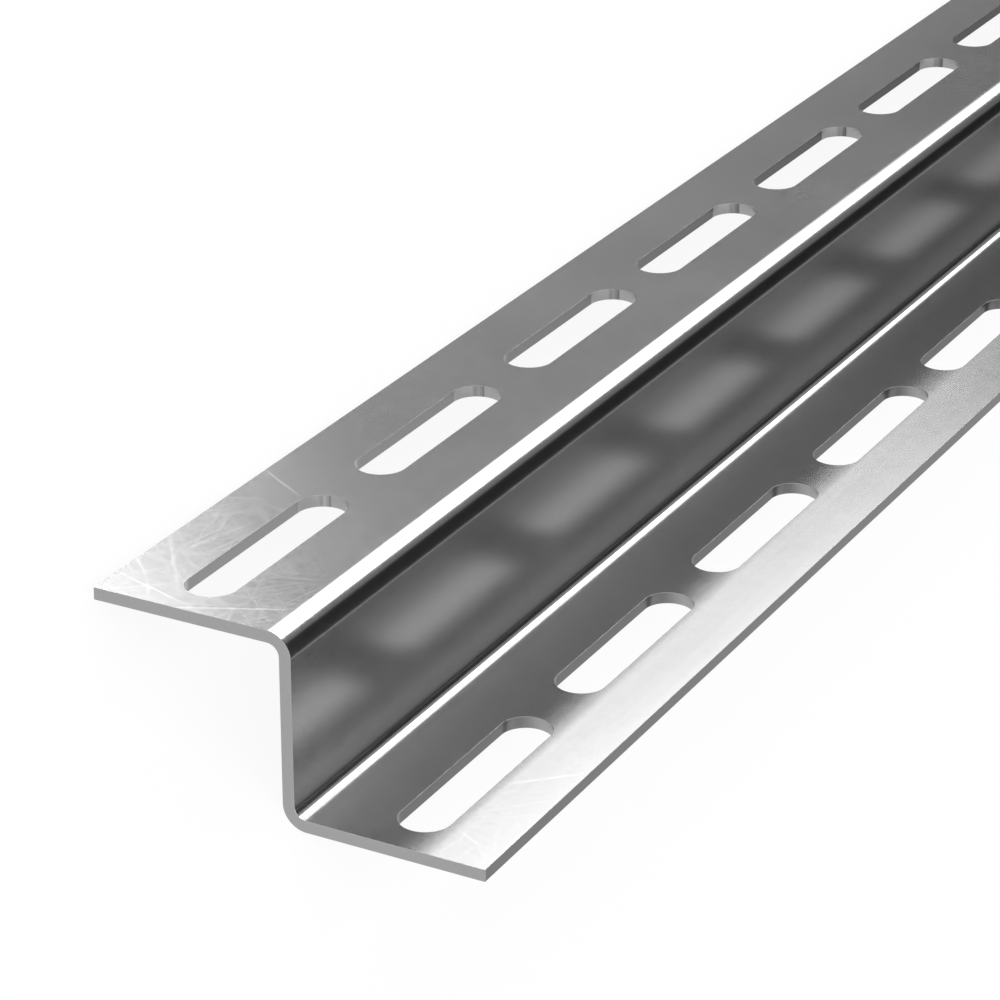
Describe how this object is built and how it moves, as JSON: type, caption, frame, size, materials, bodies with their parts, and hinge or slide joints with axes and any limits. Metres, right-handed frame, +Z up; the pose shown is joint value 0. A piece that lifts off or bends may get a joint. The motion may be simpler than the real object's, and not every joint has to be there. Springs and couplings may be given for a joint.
{
  "type": "slotted z-section profile",
  "caption": "length of Z-section profile bent from sheet steel, with a row of round-ended slots along each flange for bolting rails, pipes and brackets to a wall or frame",
  "frame": {"origin": "on the floor, under the middle of the length and of the width, as the profile lies at rest", "axes": "+Y along the length, +Z up, +X to the side where the lower flange rises; seen along +Y the section is a Z rolled 41.01 degrees anticlockwise, lying on the upper flange's edge and the lower bend"},
  "size_m": [0.0708, 2, 0.0222],
  "materials": {
    "sheet_steel": "satin zinc-coated sheet steel, neutral grey, fine random scratches"
  },
  "bodies": {
    "root": {"z_profile": "sheet_steel"}
  },
  "joints": []
}
